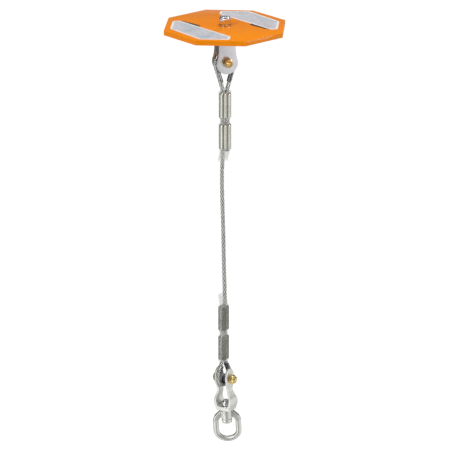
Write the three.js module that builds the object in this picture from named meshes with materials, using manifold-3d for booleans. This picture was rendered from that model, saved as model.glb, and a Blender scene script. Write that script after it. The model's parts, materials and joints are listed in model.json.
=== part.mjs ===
// Swivel anchor pendant: an octagonal bearing plate that lies over a hole in a deck, a steel clevis that
// swivels under it, a wire rope sling with an eye at each end, and a swivel jaw with an oblong ring.
// Millimetres, +Z up. The origin is the centre of the plate's underside, which is what bears on the deck.
import * as THREE from 'three';
import { mergeVertices } from 'three/addons/utils/BufferGeometryUtils.js';
import Module from 'manifold-3d';

const wasm = await Module();
wasm.setup();

// ---- Driving dimensions ---------------------------------------------------------------------------

const GAP = 0.3; // left between pieces that touch on the real object
const DEG = Math.PI / 180;

// Bearing plate, a regular octagon with two flats facing each axis
const PLATE_FLATS = 178;
const PLATE_THICK = 7.5;
const PLATE_HOLE_R = 5.6;
const PLATE_EDGE = 0.8;
const SEAT_R = 21; // shallow round seat for the thrust washer in the plate's underside
const SEAT_DEPTH = 0.4;
const LABEL_THICK = 0.25;
const LABEL_LIFT = 0.1;

// M10 stud through the plate, with a flat head held between the clevis ears
const STUD_R = 4.9;
const STUD_END = 21.4;
const STUD_HEAD = [11, 22, 6];
const THRUST_WASHER = { inner: 5.4, outer: 12, thick: 1.5 };
const STUD_WASHER = { inner: 5.4, outer: 9.4, thick: 1.8 };
const STUD_NUT = { flats: 17, height: 12, ringHeight: 3, threadR: STUD_R };

// M8 clevis bolts, the same at both ends of the rope
const BOLT_R = 3.9;
const BOLT_HEAD = { flats: 13, height: 5.3 };
const BOLT_NUT = { flats: 13, height: 8, ringHeight: 2, threadR: BOLT_R };
const BOLT_PROUD = 1.6; // thread left standing out of the nut
const SPACER_R = 6.9;

// Upper clevis, a strap bent from 4 mm plate
const CLEVIS_TURN = -65; // direction of the nut end of its bolt, degrees from +X
const CLEVIS_GAP = 12.7;
const CLEVIS_THICK = 4;
const CLEVIS_WIDTH = 27;
const CLEVIS_EAR_R = 17.2;
const UPPER_BOLT_Z = -48.5;

// Wire rope, its eyes and what is crimped on it
const ROPE_R = 3.175;
const LEG = 3.4; // half the distance between the two legs inside a ferrule
const EYE_R = 15.4; // rope centreline round the thimble crown
const CROWN_DROP = 3.5; // from the bolt's axis to the crown's centre, along the pull
// From a crown's centre to where the rope's legs come together, and to the thimble's tips
const UPPER_EYE = { length: 42, thimble: 32 };
const LOWER_EYE = { length: 27, thimble: 20 };
const THIMBLE_WIDTH = 9.2;
const THIMBLE_WALL = 1.4;
const GROOVE_PLAY = 0.6; // between the groove and the rope
const THIMBLE_FLANGE = 0.8; // how far its flanges reach past the rope's centreline
const FERRULE = { length: 39, outerR: 7.2, outerHalf: 2, spacing: 50 };
const FERRULE_1_TOP = -98.5;
const FERRULE_4_BOTTOM = -536.5;
const SLEEVE = { wall: 0.8, overhang: 20, tail: 2.5 };
const DEAD_END = 4; // rope standing out of the last ferrule
const ROPE_MIDDLE = [-2.5, 0.5, -330]; // where the rope's bend is centred
const BEND_RELIEF = 2.4; // length of the cone on each half, which lets them bend

// Lower jaw and ring, which lean a little along the bolt's axis
const JAW_TURN = -30;
const JAW_LEAN = 4;
const LOWER_BOLT_Z = -569;
const LOWER_AXIS = [-2.2, 0]; // x, y of the lower ferrules
const EYE_OFFSET = 1.5; // the eye sits this far off the middle of the jaw
const JAW_GAP = 16;
const JAW_EAR = 4;
const JAW_TOP = 17.5;
const JAW_FLOOR = -46.5;
const JAW_BOTTOM = -53.7;
const PIN_R = 3.9;
const PIN_HEAD = { radius: 8.2, height: 7.5 };
const SWIVEL_NUT = { radius: 6.6, height: 8 };
const SWIVEL_WASHER = { inner: 4.4, outer: 9, thick: 1.2 };

// Oblong ring, measured down from the top of its bridge
const RING_HALF = 22.3;
const RING_HEIGHT = 52.5;
const RING_ROD_R = 4.45;
const RING_STRAIGHT = [-13, -34];
const BRIDGE_HEIGHT = 13;
const BRIDGE_TOP_HALF = 11;
const BRIDGE_HALF_DEPTH = 5.4;
const BRIDGE_BOSS_R = 8.6;

// ---- Colours ----------------------------------------------------------------------------------------

const finish = (color, roughness, metalness) => ({ color, roughness, metalness });
const ORANGE = finish(0xf58a1c, 0.28, 0.0);
const LABEL = finish(0xc9cbd6, 0.35, 0.2);
const STAINLESS = finish(0xc3c3c6, 0.3, 1.0);
const YELLOW_ZINC = finish(0xc9a24e, 0.35, 1.0);
const NYLON = finish(0xd9dadd, 0.5, 0.0);
const ROPE_STEEL = finish(0x8f8f8a, 0.4, 1.0);
const ALUMINIUM = finish(0x7d7f74, 0.42, 1.0);
const FORGED = finish(0x97968c, 0.42, 1.0);
const CLEAR = finish(0xe8eaec, 0.1, 0.0);

// ---- Helpers: closed solids from three.js geometry -----------------------------------------------

// A three.js geometry as a manifold solid.
function solidOf(geometry) {
  const bare = geometry.index ? geometry.toNonIndexed() : geometry.clone();
  for (const name of Object.keys(bare.attributes)) {
    if (name !== 'position') bare.deleteAttribute(name);
  }
  const merged = mergeVertices(bare, 1e-4);
  const vertProperties = new Float32Array(merged.attributes.position.array);
  const triVerts = new Uint32Array(merged.index.array);
  return new wasm.Manifold(new wasm.Mesh({ numProp: 3, vertProperties, triVerts }));
}

// A manifold solid as a three.js geometry.
function geometryOf(solid) {
  const mesh = solid.getMesh();
  const geometry = new THREE.BufferGeometry();
  geometry.setAttribute('position', new THREE.BufferAttribute(new Float32Array(mesh.vertProperties), 3));
  geometry.setIndex(new THREE.BufferAttribute(new Uint32Array(mesh.triVerts), 1));
  geometry.computeVertexNormals();
  return geometry;
}

// A named mesh with its own material, from a geometry or a solid.
function piece(name, shape, look) {
  const geometry = shape.isBufferGeometry ? shape : geometryOf(shape);
  const mesh = new THREE.Mesh(geometry, new THREE.MeshStandardMaterial(look));
  mesh.name = name;
  return mesh;
}

// A group holding children, moved and turned about Z by degrees.
function placed(children, position, turnZ = 0) {
  const group = new THREE.Group();
  group.position.set(...position);
  group.rotation.z = turnZ * DEG;
  group.add(...children);
  return group;
}

// Round solid about Z from a half profile of [radius, height] points.
function lathe(points, segments = 24) {
  const profile = points.map(([radius, height]) => new THREE.Vector2(radius, height));
  profile.push(profile[0].clone());
  const geometry = new THREE.LatheGeometry(profile, segments);
  geometry.rotateX(Math.PI / 2);
  return geometry;
}

// Plain rod about Z from one height to another, with a small chamfer at its top.
function rod(radius, bottom, top, chamfer = 0.6, segments = 24) {
  const points = [[0, bottom], [radius, bottom], [radius, top - chamfer], [radius - chamfer, top], [0, top]];
  return solidOf(lathe(points, segments));
}

// Flat washer about Z, lying on a height.
function washer({ inner, outer, thick }, bottom) {
  const top = bottom + thick;
  return lathe([[inner, bottom], [outer, bottom], [outer, top], [inner, top]], 24);
}

// Shape in the XY plane extruded to +Z.
function extruded(shape, depth, curveSegments = 12) {
  return new THREE.ExtrudeGeometry(shape, { depth, bevelEnabled: false, curveSegments });
}

// Outline given in (across, height), extruded along Y about its middle.
function upright(shape, depth, curveSegments = 12) {
  const geometry = extruded(shape, depth, curveSegments);
  geometry.translate(0, 0, -depth / 2);
  geometry.rotateX(Math.PI / 2);
  return geometry;
}

// Stadium outline: two half circles joined by straight sides along X.
function stadium(radius, half) {
  const shape = new THREE.Shape();
  shape.absarc(half, 0, radius, -Math.PI / 2, Math.PI / 2);
  shape.absarc(-half, 0, radius, Math.PI / 2, 3 * Math.PI / 2);
  shape.closePath();
  return shape;
}

// Round tube along a curve, closed at both ends.
function tube(curve, radius, sides, steps) {
  const section = new THREE.Shape();
  for (let i = 0; i < sides; i += 1) {
    const angle = (i + 0.5) * 2 * Math.PI / sides;
    const x = radius * Math.cos(angle);
    const y = radius * Math.sin(angle);
    if (i === 0) section.moveTo(x, y);
    else section.lineTo(x, y);
  }
  section.closePath();
  return solidOf(new THREE.ExtrudeGeometry(section, { steps, extrudePath: curve }));
}

// ---- Fasteners -----------------------------------------------------------------------------------

// Hexagonal prism about Z, a flat facing +X, with chamfered corners at one or both ends.
function hexBlock(flats, bottom, top, chamferBottom, chamferTop) {
  const corner = flats / 2 / Math.cos(30 * DEG);
  const outline = new THREE.Shape();
  for (let i = 0; i < 6; i += 1) {
    const angle = (30 + 60 * i) * DEG;
    if (i === 0) outline.moveTo(corner * Math.cos(angle), corner * Math.sin(angle));
    else outline.lineTo(corner * Math.cos(angle), corner * Math.sin(angle));
  }
  outline.closePath();
  const prism = extruded(outline, top - bottom);
  prism.translate(0, 0, bottom);
  const face = flats / 2 - 0.2;
  const outer = corner + 0.5;
  const rise = (outer - face) * Math.tan(30 * DEG);
  const cap = lathe([
    [0, bottom],
    [chamferBottom ? face : outer, bottom],
    [outer, chamferBottom ? bottom + rise : bottom],
    [outer, chamferTop ? top - rise : top],
    [chamferTop ? face : outer, top],
    [0, top],
  ], 24);
  return solidOf(prism).intersect(solidOf(cap));
}

// Lock nut about Z on a seat height: hexagon, round collar and counterbore for its nylon ring.
function lockNut({ flats, height, ringHeight, threadR }, seat) {
  const collarBase = seat + height - ringHeight;
  const hex = hexBlock(flats, seat, collarBase, true, true);
  const collarR = flats / 2 - 0.6;
  const collar = solidOf(lathe([
    [0, collarBase - 1], [collarR, collarBase - 1], [collarR, seat + height - 0.8],
    [collarR - 0.8, seat + height], [0, seat + height],
  ], 24));
  const bore = rod(threadR + GAP, seat - 1, seat + height + 1, 0);
  const pocket = rod(threadR + 1.9, collarBase, seat + height + 1, 0);
  return hex.add(collar).subtract(bore).subtract(pocket);
}

// Nylon ring of the lock nut on the same seat.
function nylonRing({ height, ringHeight, threadR }, seat) {
  const bottom = seat + height - ringHeight + GAP;
  return washer({ inner: threadR + GAP, outer: threadR + 1.6, thick: ringHeight - 2 * GAP }, bottom);
}

// Clevis bolt along +X: hexagon head on the -X side, thread end on the +X side.
function clevisBolt(halfSpan) {
  const seat = halfSpan + GAP;
  const head = hexBlock(BOLT_HEAD.flats, -seat - BOLT_HEAD.height, -seat, true, false);
  const shank = rod(BOLT_R, -seat - 1, seat + BOLT_NUT.height + BOLT_PROUD, 0.8);
  return head.add(shank);
}

// The bolt, its lock nut, its nylon ring and the spacer tube between the ears, all along +X.
function clevisFasteners(prefix, gap, halfSpan) {
  const seat = halfSpan + GAP;
  const spacerBottom = -gap / 2 + GAP;
  const spacer = washer({ inner: BOLT_R + GAP, outer: SPACER_R, thick: gap - 2 * GAP }, spacerBottom);
  const set = [
    piece(`${prefix}_bolt`, clevisBolt(halfSpan), YELLOW_ZINC),
    piece(`${prefix}_bolt_nut`, lockNut(BOLT_NUT, seat), YELLOW_ZINC),
    piece(`${prefix}_bolt_nut_ring`, nylonRing(BOLT_NUT, seat), NYLON),
    piece(`${prefix}_spacer`, spacer, STAINLESS),
  ];
  const group = new THREE.Group();
  group.rotation.y = Math.PI / 2;
  group.add(...set);
  return group;
}

// ---- Bearing plate -------------------------------------------------------------------------------

function octagon(flats) {
  const corner = flats / 2 / Math.cos(22.5 * DEG);
  const shape = new THREE.Shape();
  for (let i = 0; i < 8; i += 1) {
    const angle = (22.5 + 45 * i) * DEG;
    if (i === 0) shape.moveTo(corner * Math.cos(angle), corner * Math.sin(angle));
    else shape.lineTo(corner * Math.cos(angle), corner * Math.sin(angle));
  }
  shape.closePath();
  return shape;
}

function anchorPlate() {
  const slab = new THREE.ExtrudeGeometry(octagon(PLATE_FLATS), {
    depth: PLATE_THICK - 2 * PLATE_EDGE,
    bevelThickness: PLATE_EDGE,
    bevelSize: PLATE_EDGE,
    bevelOffset: -PLATE_EDGE,
    bevelSegments: 2,
  });
  slab.translate(0, 0, PLATE_EDGE);
  const hole = rod(PLATE_HOLE_R, -1, PLATE_THICK + 1, 0);
  const seat = rod(SEAT_R, -1, SEAT_DEPTH, 0, 40);
  return piece('anchor_plate', solidOf(slab).subtract(hole).subtract(seat), ORANGE);
}

// Blank six-sided sticker that follows the plate's edge on one side of the stud.
function label(name, turn) {
  const outline = new THREE.Shape();
  const corners = [[-80.5, 17], [-80.5, -27], [-32, -82], [13, -81.5], [13.5, -64], [-70.5, 20]];
  corners.forEach(([x, y], i) => (i === 0 ? outline.moveTo(x, y) : outline.lineTo(x, y)));
  outline.closePath();
  const geometry = extruded(outline, LABEL_THICK);
  geometry.translate(0, 0, PLATE_THICK + LABEL_LIFT);
  geometry.rotateZ(turn * DEG);
  return piece(name, geometry, LABEL);
}

// ---- Upper clevis --------------------------------------------------------------------------------

// Heights of the stack on the stud
const THRUST_BOTTOM = SEAT_DEPTH - GAP - THRUST_WASHER.thick;
const WEB_TOP = THRUST_BOTTOM - GAP;
const WEB_BOTTOM = WEB_TOP - CLEVIS_THICK;
const STUD_WASHER_BOTTOM = PLATE_THICK + GAP;
const STUD_NUT_SEAT = STUD_WASHER_BOTTOM + STUD_WASHER.thick + GAP;
const CLEVIS_HALF = CLEVIS_GAP / 2 + CLEVIS_THICK;

// Bent strap in its own frame: the bolt lies along X and the ears are flat in the YZ plane.
function upperClevis() {
  const low = UPPER_BOLT_Z - CLEVIS_EAR_R - 2;
  const bendR = 5;
  const insideR = 1;
  const strap = new THREE.Shape();
  strap.moveTo(-CLEVIS_HALF, low);
  strap.lineTo(-CLEVIS_HALF, WEB_TOP - bendR);
  strap.absarc(-CLEVIS_HALF + bendR, WEB_TOP - bendR, bendR, Math.PI, Math.PI / 2, true);
  strap.absarc(CLEVIS_HALF - bendR, WEB_TOP - bendR, bendR, Math.PI / 2, 0, true);
  strap.lineTo(CLEVIS_HALF, low);
  strap.lineTo(CLEVIS_GAP / 2, low);
  strap.lineTo(CLEVIS_GAP / 2, WEB_BOTTOM - insideR);
  strap.absarc(CLEVIS_GAP / 2 - insideR, WEB_BOTTOM - insideR, insideR, 0, Math.PI / 2, false);
  strap.absarc(-CLEVIS_GAP / 2 + insideR, WEB_BOTTOM - insideR, insideR, Math.PI / 2, Math.PI, false);
  strap.lineTo(-CLEVIS_GAP / 2, low);
  strap.closePath();
  const bent = solidOf(upright(strap, 3 * CLEVIS_WIDTH, 3));

  // Ear outline: straight sides that flare into a round end about the bolt
  const half = CLEVIS_WIDTH / 2;
  const flare = 24 * DEG;
  const ear = new THREE.Shape();
  ear.moveTo(-half, WEB_TOP + 1);
  ear.lineTo(-half, UPPER_BOLT_Z + 22);
  ear.absarc(0, UPPER_BOLT_Z - 1, CLEVIS_EAR_R, Math.PI - flare, 2 * Math.PI + flare, false);
  ear.lineTo(half, UPPER_BOLT_Z + 22);
  ear.lineTo(half, WEB_TOP + 1);
  ear.closePath();
  const outline = solidOf(upright(ear, 3 * CLEVIS_WIDTH, 12)).rotate([0, 0, 90]);

  const boltHole = rod(BOLT_R + GAP, -2 * CLEVIS_HALF, 2 * CLEVIS_HALF, 0).rotate([0, 90, 0]);
  const studHole = rod(STUD_R + GAP, WEB_BOTTOM - 1, WEB_TOP + 1, 0);
  const ears = bent.intersect(outline).subtract(boltHole.translate([0, 0, UPPER_BOLT_Z]));
  return piece('upper_clevis', ears.subtract(studHole), STAINLESS);
}

// Stud: a flat head that the ears keep from turning, and a threaded shank up through the plate.
function swivelStud() {
  const [width, length, thick] = STUD_HEAD;
  const headTop = WEB_BOTTOM - GAP;
  const head = new THREE.BoxGeometry(width, length, thick);
  head.translate(0, 0, headTop - thick / 2);
  const shank = rod(STUD_R, headTop - 1, STUD_END, 0.9);
  return piece('swivel_stud', solidOf(head).add(shank), STAINLESS);
}

// ---- Wire rope eyes ------------------------------------------------------------------------------

// Half of an eye in (across, up), pulled downwards from a crown centred on the origin: the crown's arc
// from its top to where the leg leaves it, then the point where the legs come together.
function eyeHalf(length) {
  const reach = Math.hypot(LEG, length);
  const leave = Math.atan2(-length, LEG) + Math.acos(EYE_R / reach);
  const arcSteps = 5;
  const points = [];
  for (let i = 1; i <= arcSteps; i += 1) {
    const angle = Math.PI / 2 + (leave - Math.PI / 2) * i / arcSteps;
    points.push([EYE_R * Math.cos(angle), EYE_R * Math.sin(angle)]);
  }
  const [x, y] = points[points.length - 1];
  points.push([(x * 2 + LEG) / 3, (y * 2 - length) / 3]);
  points.push([(x + LEG * 2) / 3, (y - length * 2) / 3]);
  points.push([LEG + 0.4, -length + 1]);
  points.push([LEG, -length - 3]);
  return points;
}

// Whole eye from the leg at -across to the leg at +across, in (across, up) about the crown's centre.
function eyePoints(length) {
  const half = eyeHalf(length);
  const mirrored = half.map(([across, up]) => [-across, up]).reverse();
  return [...mirrored, [0, EYE_R], ...half];
}

// Thimble about the crown's centre, pulled downwards: a grooved band that follows the inside of the eye.
// X is across the eye and Y is along the bolt.
function thimble(eye) {
  const points = eyePoints(eye.length);
  const centreline = points.filter(([, up]) => up > -eye.length + 3);
  const curve = new THREE.SplineCurve(centreline.map(([x, y]) => new THREE.Vector2(x, y)));
  const samples = curve.getSpacedPoints(30);
  const kept = samples.filter((point) => point.y > -eye.thimble);
  const side = (offset) => kept.map((point, i) => {
    const before = kept[Math.max(i - 1, 0)];
    const after = kept[Math.min(i + 1, kept.length - 1)];
    const along = after.clone().sub(before).normalize();
    return new THREE.Vector2(point.x - along.y * offset, point.y + along.x * offset);
  });
  const band = new THREE.Shape([...side(THIMBLE_FLANGE), ...side(-ROPE_R - THIMBLE_WALL).reverse()]);
  const grooveCurve = new THREE.CatmullRomCurve3(points.map(([x, y]) => new THREE.Vector3(x, 0, y)));
  const groove = tube(grooveCurve, ROPE_R + GROOVE_PLAY, 8, 30);
  return solidOf(upright(band, THIMBLE_WIDTH)).subtract(groove);
}

// Oval crimp sleeve about Z with a slot for the two legs, which lie apart along X.
function ferrule(name, top) {
  const outline = stadium(FERRULE.outerR, FERRULE.outerHalf);
  outline.holes.push(stadium(ROPE_R + GAP, LEG));
  const bevel = 0.6;
  const geometry = new THREE.ExtrudeGeometry(outline, {
    depth: FERRULE.length - 2 * bevel,
    bevelThickness: bevel,
    bevelSize: bevel,
    bevelOffset: -bevel,
    bevelSegments: 1,
    curveSegments: 6,
  });
  geometry.translate(0, 0, top - FERRULE.length + bevel);
  return piece(name, geometry, ALUMINIUM);
}

// Clear tube about Z over both ferrules of one eye.
function clearSleeve(name, bottom, top) {
  const inner = FERRULE.outerR + GAP;
  const outline = stadium(inner + SLEEVE.wall, FERRULE.outerHalf);
  outline.holes.push(stadium(inner, FERRULE.outerHalf));
  const geometry = extruded(outline, top - bottom, 6);
  geometry.translate(0, 0, bottom);
  return piece(name, geometry, CLEAR);
}

// ---- Rope route ------------------------------------------------------------------------------------

const UPPER_CROWN_Z = UPPER_BOLT_Z - CROWN_DROP;
const LOWER_CROWN_Z = LOWER_BOLT_Z + CROWN_DROP;
const FERRULE_2_BOTTOM = FERRULE_1_TOP - FERRULE.spacing - FERRULE.length;
const FERRULE_3_TOP = FERRULE_4_BOTTOM + FERRULE.spacing + FERRULE.length;

// A point given in an eye's plane, turned about Z and shifted in X and Y.
function inPlane([across, up], turnZ, [x, y], z) {
  const angle = turnZ * DEG;
  return new THREE.Vector3(x + across * Math.cos(angle), y + across * Math.sin(angle), z + up);
}

// Points of one rope half: dead end, eye, standing leg and the free run to the rope's middle.
function ropePoints({ turnZ, centre, crownZ, pull, length }, ends, run) {
  const leg = (across, z) => inPlane([across, 0], turnZ, centre, z);
  const loop = eyePoints(length).reverse();
  const eye = loop.map(([across, up]) => inPlane([across, up * pull], turnZ, centre, crownZ));
  const deadLeg = ends.map((z) => leg(LEG, z)).reverse();
  const standingLeg = ends.slice(0, -1).map((z) => leg(-LEG, z));
  return [...deadLeg, ...eye, ...standingLeg, ...run.map((point) => new THREE.Vector3(...point))];
}

// Rope half with a cone at its middle end, so that the two halves can bend about one point.
function ropeHalf(name, points, sign) {
  const [x, y, z] = ROPE_MIDDLE;
  const coneBase = z + sign * (BEND_RELIEF + GAP / 2);
  const last = new THREE.Vector3(x, y, coneBase);
  const curve = new THREE.CatmullRomCurve3([...points, last], false, 'centripetal');
  const cone = lathe([[0, -0.4], [ROPE_R - 0.1, -0.4], [ROPE_R - 0.1, 0], [0, BEND_RELIEF]], 10);
  if (sign > 0) cone.rotateX(Math.PI);
  cone.translate(x, y, coneBase);
  return piece(name, tube(curve, ROPE_R, 8, 66).add(solidOf(cone)), ROPE_STEEL);
}

const UPPER_EYE_TURN = CLEVIS_TURN + 90;
const LOWER_EYE_TURN = JAW_TURN + 90;

function wireRopeUpper() {
  const ends = [FERRULE_1_TOP - 12, FERRULE_1_TOP - 50, FERRULE_2_BOTTOM - DEAD_END];
  const run = [
    [-3.4, -1.4, -200],
    [-4.3, -1.2, -222],
    [-4.5, -0.9, -245],
    [-3.9, -0.5, -275],
    [-3.1, 0, -303],
  ];
  const eye = {
    turnZ: UPPER_EYE_TURN, centre: [0, 0], crownZ: UPPER_CROWN_Z, pull: 1, length: UPPER_EYE.length,
  };
  const points = ropePoints(eye, ends, run);
  return ropeHalf('wire_rope_upper', points, 1);
}

function wireRopeLower() {
  const ends = [FERRULE_4_BOTTOM + 12, FERRULE_4_BOTTOM + 50, FERRULE_3_TOP + DEAD_END / 2];
  const run = [
    [-0.5, 2.8, -436],
    [-0.9, 2.4, -412],
    [-1.6, 1.6, -384],
    [-2.1, 0.9, -357],
  ];
  const turnZ = LOWER_EYE_TURN + 180;
  const eye = { turnZ, centre: LOWER_AXIS, crownZ: LOWER_CROWN_Z, pull: -1, length: LOWER_EYE.length };
  const points = ropePoints(eye, ends, run);
  return ropeHalf('wire_rope_lower', points, -1);
}

// ---- Lower jaw -----------------------------------------------------------------------------------

// Forged jaw about its bolt: the bolt lies along X, and the two ears swell out below the neck to make
// room for the swivel nut.
function lowerJaw() {
  const inner = JAW_GAP / 2;
  const outer = inner + JAW_EAR;
  const front = new THREE.Shape();
  front.moveTo(-outer, JAW_TOP + 1);
  front.lineTo(-outer, -8);
  front.splineThru(mirrorPath([
    [10.4, -18], [12.6, -26], [16, -34], [15.6, -42], [12.8, -50], [12, JAW_BOTTOM],
  ]));
  front.lineTo(12, JAW_BOTTOM);
  front.splineThru(plainPath([[12.8, -50], [15.6, -42], [16, -34], [12.6, -26], [10.4, -18], [outer, -8]]));
  front.lineTo(outer, JAW_TOP + 1);
  front.lineTo(inner, JAW_TOP + 1);
  front.lineTo(inner, -11);
  front.splineThru(plainPath([[6.8, -18.5], [8.4, -25], [11.2, -33], [11, -41], [8.5, JAW_FLOOR]]));
  front.lineTo(-8.5, JAW_FLOOR);
  front.splineThru(mirrorPath([[11, -41], [11.2, -33], [8.4, -25], [6.8, -18.5], [inner, -11]]));
  front.lineTo(-inner, JAW_TOP + 1);
  front.closePath();

  const side = new THREE.Shape();
  side.moveTo(10.5, 0);
  side.absellipse(0, 0, 10.5, JAW_TOP, 0, Math.PI, false, 0);
  side.splineThru(mirrorPath([[9, -9], [6.4, -18], [7.4, -26], [9.8, -36], [10.6, -46], [9.6, JAW_BOTTOM]]));
  side.lineTo(9.6, JAW_BOTTOM);
  side.splineThru(plainPath([[10.6, -46], [9.8, -36], [7.4, -26], [6.4, -18], [9, -9], [10.5, 0]]));
  side.closePath();

  const frontSolid = solidOf(upright(front, 60, 3));
  const sideSolid = solidOf(upright(side, 60, 3)).rotate([0, 0, 90]);
  const boltHole = rod(BOLT_R + GAP, -30, 30, 0).rotate([0, 90, 0]);
  const pinHole = rod(PIN_R + GAP, JAW_BOTTOM - 1, JAW_FLOOR + 1, 0);
  return piece('lower_jaw', frontSolid.intersect(sideSolid).subtract(boltHole).subtract(pinHole), FORGED);
}

// Spline points on the +across side, and the same points on the -across side.
function plainPath(points) {
  return points.map(([across, up]) => new THREE.Vector2(across, up));
}

function mirrorPath(points) {
  return points.map(([across, up]) => new THREE.Vector2(-across, up));
}

// ---- Swivel and ring -----------------------------------------------------------------------------

const SWIVEL_WASHER_BOTTOM = JAW_BOTTOM - GAP - SWIVEL_WASHER.thick;
const RING_TOP = SWIVEL_WASHER_BOTTOM - GAP;
const PIN_HEAD_TOP = RING_TOP - BRIDGE_HEIGHT - GAP;

// Pin with a domed round head inside the ring, and a shank up through the bridge, jaw and nut.
function swivelPin() {
  const { radius, height } = PIN_HEAD;
  const bottom = PIN_HEAD_TOP - height;
  const top = JAW_FLOOR + GAP + SWIVEL_NUT.height + 1.5;
  return piece('swivel_pin', lathe([
    [0, bottom],
    [radius - 3, bottom],
    [radius - 0.9, bottom + 1.1],
    [radius, bottom + 3.2],
    [radius, PIN_HEAD_TOP],
    [PIN_R, PIN_HEAD_TOP],
    [PIN_R, top - 0.8],
    [PIN_R - 0.8, top],
    [0, top],
  ]), FORGED);
}

// Round nut that the pin screws into, on the floor of the jaw.
function swivelNut() {
  const bottom = JAW_FLOOR + GAP;
  const top = bottom + SWIVEL_NUT.height;
  const bore = PIN_R + GAP;
  return piece('swivel_nut', lathe([
    [bore, bottom],
    [SWIVEL_NUT.radius, bottom],
    [SWIVEL_NUT.radius, top - 1.6],
    [SWIVEL_NUT.radius - 1.4, top],
    [bore, top],
  ]), STAINLESS);
}

// Ring in its own frame: X across, Z up from the top of the bridge.
function swivelRing() {
  const centre = RING_HALF - RING_ROD_R;
  const [straightTop, straightBottom] = RING_STRAIGHT;
  const drop = RING_HEIGHT - RING_ROD_R + straightBottom;
  const path = [[-centre, straightTop], [-centre, (straightTop + straightBottom) / 2]];
  const arcSteps = 8;
  for (let i = 0; i <= arcSteps; i += 1) {
    const angle = Math.PI + Math.PI * i / arcSteps;
    path.push([centre * Math.cos(angle), straightBottom + drop * Math.sin(angle)]);
  }
  path.push([centre, (straightTop + straightBottom) / 2], [centre, straightTop]);
  const curve = new THREE.CatmullRomCurve3(path.map(([x, z]) => new THREE.Vector3(x, 0, z)));
  const rim = tube(curve, RING_ROD_R, 12, 30);

  const inner = centre - RING_ROD_R;
  const bridgeOutline = plainPath([
    [-BRIDGE_TOP_HALF, 0], [-RING_HALF + 2.3, -9], [-RING_HALF, -14.5], [-RING_HALF + 1.2, -17.5],
    [-inner, -17.5], [-inner + 3.5, -BRIDGE_HEIGHT], [inner - 3.5, -BRIDGE_HEIGHT], [inner, -17.5],
    [RING_HALF - 1.2, -17.5], [RING_HALF, -14.5], [RING_HALF - 2.3, -9], [BRIDGE_TOP_HALF, 0],
  ]);
  const bridge = solidOf(upright(new THREE.Shape(bridgeOutline), 2 * BRIDGE_HALF_DEPTH));
  const boss = rod(BRIDGE_BOSS_R, -BRIDGE_HEIGHT, 0, 0.8);
  const pinHole = rod(PIN_R + GAP, -BRIDGE_HEIGHT - 1, 1, 0);
  const ring = rim.add(bridge).add(boss).subtract(pinHole);
  return piece('swivel_ring', ring, FORGED);
}

// ---- Assembly --------------------------------------------------------------------------------------

const pendant = new THREE.Group();

// Fixed on the deck
pendant.add(
  anchorPlate(),
  label('label_left', 0),
  label('label_right', 180),
  piece('thrust_washer', washer(THRUST_WASHER, THRUST_BOTTOM), STAINLESS),
  piece('stud_washer', washer(STUD_WASHER, STUD_WASHER_BOTTOM), STAINLESS),
);

// Clevis that turns under the plate
const upperFasteners = clevisFasteners('upper', CLEVIS_GAP, CLEVIS_HALF);
upperFasteners.position.z = UPPER_BOLT_Z;
pendant.add(placed([
  upperClevis(),
  swivelStud(),
  piece('stud_nut', lockNut(STUD_NUT, STUD_NUT_SEAT), STAINLESS),
  piece('stud_nut_ring', nylonRing(STUD_NUT, STUD_NUT_SEAT), NYLON),
  upperFasteners,
], [0, 0, 0], CLEVIS_TURN));

// Upper eye and the rope down to its middle
const upperThimble = piece('upper_thimble', thimble(UPPER_EYE), STAINLESS);
upperThimble.position.z = UPPER_CROWN_Z;
pendant.add(wireRopeUpper(), placed([
  upperThimble,
  ferrule('ferrule_1', FERRULE_1_TOP),
  ferrule('ferrule_2', FERRULE_1_TOP - FERRULE.spacing),
  clearSleeve('upper_sleeve', FERRULE_2_BOTTOM - SLEEVE.overhang, FERRULE_1_TOP + SLEEVE.tail),
], [0, 0, 0], UPPER_EYE_TURN));

// Lower half of the rope and its eye
const lowerThimble = piece('lower_thimble', thimble(LOWER_EYE), STAINLESS);
lowerThimble.position.z = LOWER_CROWN_Z;
lowerThimble.rotation.y = Math.PI;
pendant.add(wireRopeLower(), placed([
  lowerThimble,
  ferrule('ferrule_3', FERRULE_3_TOP),
  ferrule('ferrule_4', FERRULE_4_BOTTOM + FERRULE.length),
  clearSleeve('lower_sleeve', FERRULE_4_BOTTOM - SLEEVE.tail, FERRULE_3_TOP + SLEEVE.overhang),
], [...LOWER_AXIS, 0], LOWER_EYE_TURN));

// Jaw and ring, leaning about the bolt's middle
const jawX = LOWER_AXIS[0] + EYE_OFFSET * Math.cos(JAW_TURN * DEG);
const jawY = LOWER_AXIS[1] + EYE_OFFSET * Math.sin(JAW_TURN * DEG);
const leaning = new THREE.Group();
leaning.rotation.y = -JAW_LEAN * DEG;
leaning.add(
  lowerJaw(),
  clevisFasteners('lower', JAW_GAP, JAW_GAP / 2 + JAW_EAR),
  swivelPin(),
  swivelNut(),
  piece('swivel_washer', washer(SWIVEL_WASHER, SWIVEL_WASHER_BOTTOM), STAINLESS),
  placed([swivelRing()], [0, 0, RING_TOP], -JAW_TURN),
);
pendant.add(placed([leaning], [jawX, jawY, LOWER_BOLT_Z], JAW_TURN));

export default pendant;
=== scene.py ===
"""Looks of the swivel anchor pendant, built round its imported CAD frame. Lengths are in millimetres
until mesh_object() turns them into metres. +Z is up, and the plate's underside is at Z = 0."""

import json
from math import acos, atan2, ceil, cos, hypot, pi, radians, sin, tan

import bmesh
import bpy
import numpy as np
from mathutils import Matrix, Vector


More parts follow.
